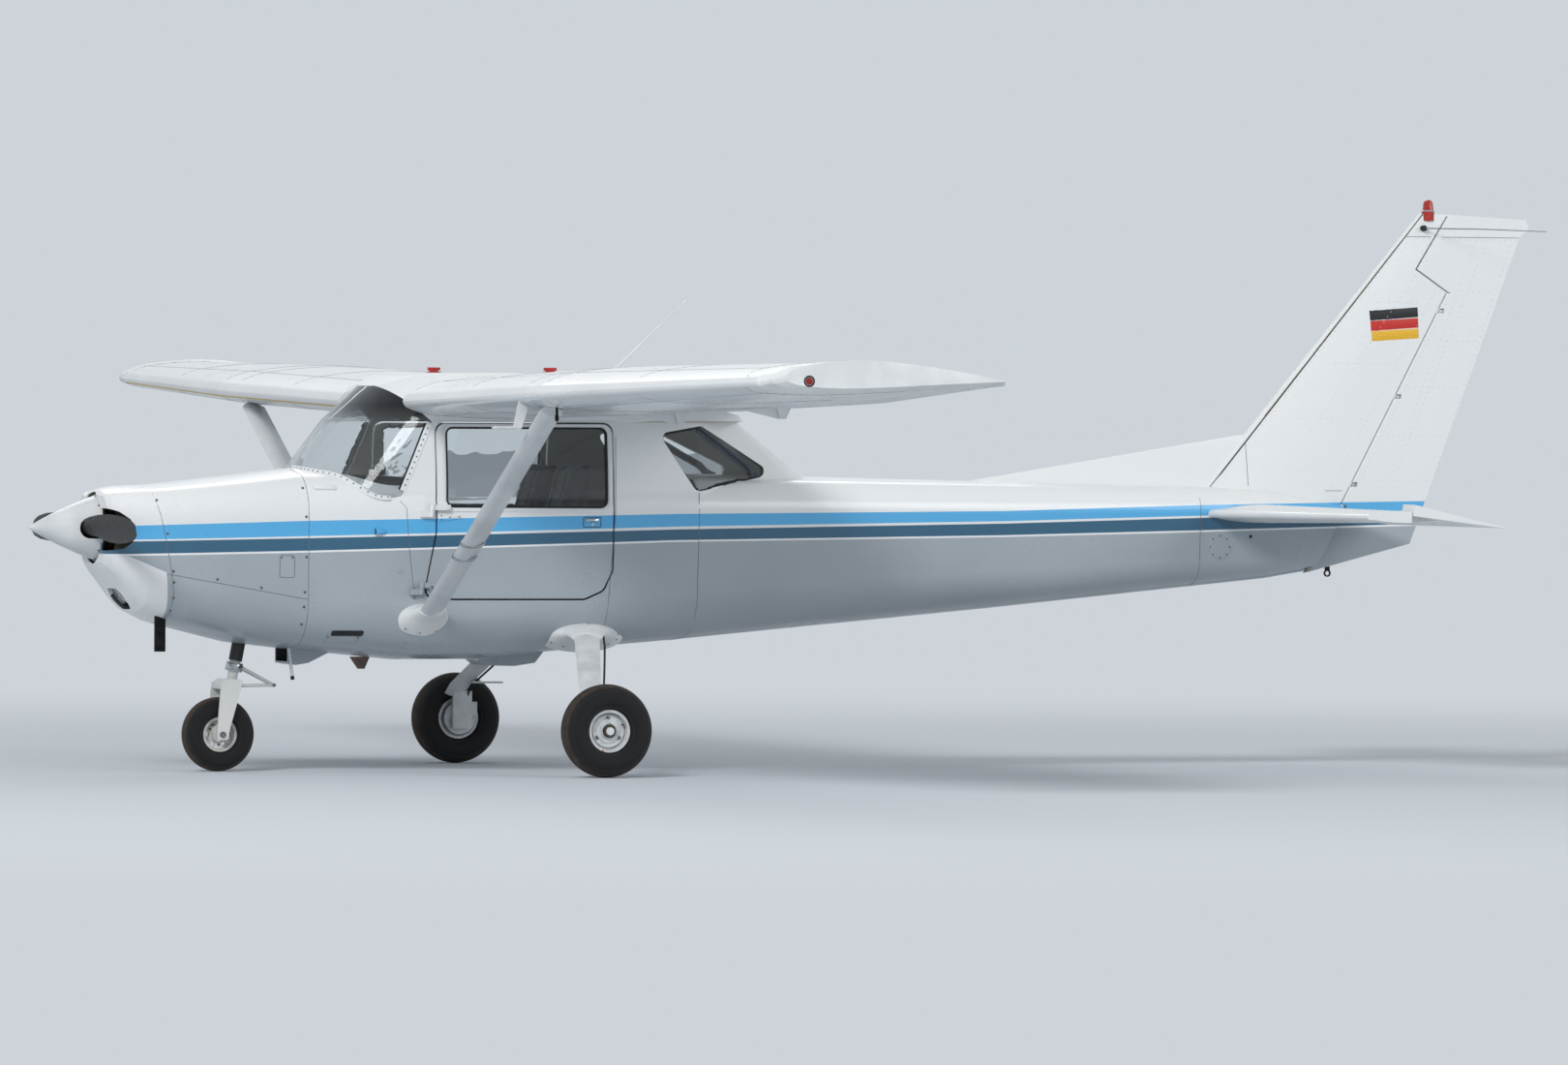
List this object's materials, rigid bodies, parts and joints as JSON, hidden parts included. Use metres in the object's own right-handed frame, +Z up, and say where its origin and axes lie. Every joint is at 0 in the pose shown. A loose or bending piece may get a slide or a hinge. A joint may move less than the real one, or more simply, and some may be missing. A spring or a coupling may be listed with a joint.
{
  "type": "light aircraft",
  "caption": "Two-seat high-wing light aircraft with strut-braced wings, fixed nosewheel gear, opening doors and working control surfaces.",
  "frame": {"origin": "on the ground, below the middle of the overall box", "axes": "+X aft along the fuselage, +Y to starboard along the span, +Z up"},
  "size_m": [7.3324, 10.16, 2.674],
  "materials": {
    "white_surface": "gloss white paint on sheet aluminium",
    "white_plastic": "gloss white moulded plastic",
    "grey_paint": "gloss light grey paint",
    "bare_aluminium": "spun and polished aluminium",
    "black_paint": "matt black paint on forged aluminium",
    "engine_iron": "plain casting",
    "exhaust_steel": "heat-browned steel pipe",
    "leg_steel": "white paint on spring steel",
    "tyre_rubber": "black rubber",
    "wheel_alloy": "painted cast alloy",
    "window": "clear acrylic sheet",
    "panel_black": "matt black",
    "seat_cloth": "woven cloth over foam",
    "seat_frame": "dark painted sheet",
    "red_lens": "clear red dome",
    "red_cap": "red paint"
  },
  "bodies": {
    "airframe": {"beacon": "red_lens", "cabin_belly": "grey_paint", "cabin_deck": "white_surface", "cabin_roof": "white_surface", "cabin_side_left": "white_surface", "cabin_side_right": "white_surface", "control_yokes": "panel_black", "cowl_lower": "grey_paint", "cowl_upper": "white_surface", "engine_block": "engine_iron", "exhaust_pipe": "exhaust_steel", "fin": "white_surface", "firewall": "bare_aluminium", "fuel_caps": "red_cap", "instrument_panel": "panel_black", "landing_lamps": "bare_aluminium", "leg_sleeves": "white_plastic", "main_leg_left": "leg_steel", "main_leg_right": "leg_steel", "nose_bowl": "white_plastic", "nose_housing": "leg_steel", "pitot_tube": "exhaust_steel", "rear_bulkhead": "bare_aluminium", "rear_windows": "window", "rudder_pedals": "seat_frame", "seat_frames": "seat_frame", "seat_left": "seat_cloth", "seat_right": "seat_cloth", "stabiliser": "white_surface", "strut_cuffs": "white_plastic", "strut_left": "white_surface", "strut_right": "white_surface", "tail_cone": "white_surface", "tie_downs": "exhaust_steel", "windscreen": "window", "wing_left": "white_surface", "wing_right": "white_surface", "wing_tip_left": "white_plastic", "wing_tip_right": "white_plastic"},
    "propeller": {"propeller": "black_paint", "spinner": "bare_aluminium", "crankshaft": "exhaust_steel"},
    "nose_steer": {"nose_fork": "leg_steel"},
    "nose_wheel": {"nose_tyre": "tyre_rubber", "nose_rim": "wheel_alloy"},
    "main_wheel_left": {"main_tyre_left": "tyre_rubber", "main_rim_left": "wheel_alloy"},
    "main_wheel_right": {"main_tyre_right": "tyre_rubber", "main_rim_right": "wheel_alloy"},
    "door_left": {"door_left": "white_surface", "door_glass_left": "window"},
    "door_right": {"door_right": "white_surface", "door_glass_right": "window"},
    "aileron_left": {"aileron_left": "white_surface"},
    "aileron_right": {"aileron_right": "white_surface"},
    "flap_left": {"flap_left": "white_surface"},
    "flap_right": {"flap_right": "white_surface"},
    "elevator": {"elevator": "white_surface"},
    "rudder": {"rudder": "white_surface"}
  },
  "joints": [
    {"name": "propeller_spin", "type": "hinge", "parent": "airframe", "child": "propeller", "pos_m": [-3.41, 0, 1.113], "axis": [1, 0, 0], "continuous": true},
    {"name": "nose_steering", "type": "hinge", "parent": "airframe", "child": "nose_steer", "pos_m": [-2.703, 0, 0.428], "axis": [0.1868, 0, 0.9824], "range_deg": [-30, 30]},
    {"name": "nose_wheel_spin", "type": "hinge", "parent": "nose_steer", "child": "nose_wheel", "pos_m": [-2.77, 0, 0.17], "axis": [0, 1, 0], "continuous": true},
    {"name": "main_wheel_left_spin", "type": "hinge", "parent": "airframe", "child": "main_wheel_left", "pos_m": [-1.275, -1.16, 0.212], "axis": [0, 1, 0], "continuous": true},
    {"name": "main_wheel_right_spin", "type": "hinge", "parent": "airframe", "child": "main_wheel_right", "pos_m": [-1.275, 1.16, 0.212], "axis": [0, 1, 0], "continuous": true},
    {"name": "door_right_hinge", "type": "hinge", "parent": "airframe", "child": "door_right", "pos_m": [-1.964, 0.541, 0.845], "axis": [0.1257, 0.0335, 0.9915], "range_deg": [0, 50]},
    {"name": "door_left_hinge", "type": "hinge", "parent": "airframe", "child": "door_left", "pos_m": [-1.964, -0.541, 0.845], "axis": [-0.1257, 0.0335, -0.9915], "range_deg": [0, 50]},
    {"name": "aileron_right_hinge", "type": "hinge", "parent": "airframe", "child": "aileron_right", "pos_m": [-0.84306, 2.57, 1.74028], "axis": [-0.0805, 0.9964, 0.026], "range_deg": [-20, 15]},
    {"name": "aileron_left_hinge", "type": "hinge", "parent": "airframe", "child": "aileron_left", "pos_m": [-0.84306, -2.57, 1.74028], "axis": [0.0805, 0.9964, -0.026], "range_deg": [-15, 20]},
    {"name": "flap_right_hinge", "type": "hinge", "parent": "airframe", "child": "flap_right", "pos_m": [-0.82093, 0.5, 1.60579], "axis": [0, 0.9998, 0.0218], "range_deg": [0, 30]},
    {"name": "flap_left_hinge", "type": "hinge", "parent": "airframe", "child": "flap_left", "pos_m": [-0.82093, -0.5, 1.60579], "axis": [0, 0.9998, -0.0218], "range_deg": [0, 30]},
    {"name": "elevator_hinge", "type": "hinge", "parent": "airframe", "child": "elevator", "pos_m": [2.68, 0, 1.192], "axis": [0, 1, 0], "range_deg": [-35, 8]},
    {"name": "rudder_hinge", "type": "hinge", "parent": "airframe", "child": "rudder", "pos_m": [2.735, 0, 1.241], "axis": [0.4685, 0, 0.8835], "range_deg": [-23, 23]}
  ],
  "couplings": [
    {"joint": "aileron_left_hinge", "follows": "aileron_right_hinge", "ratio": -1},
    {"joint": "flap_left_hinge", "follows": "flap_right_hinge", "ratio": 1}
  ]
}
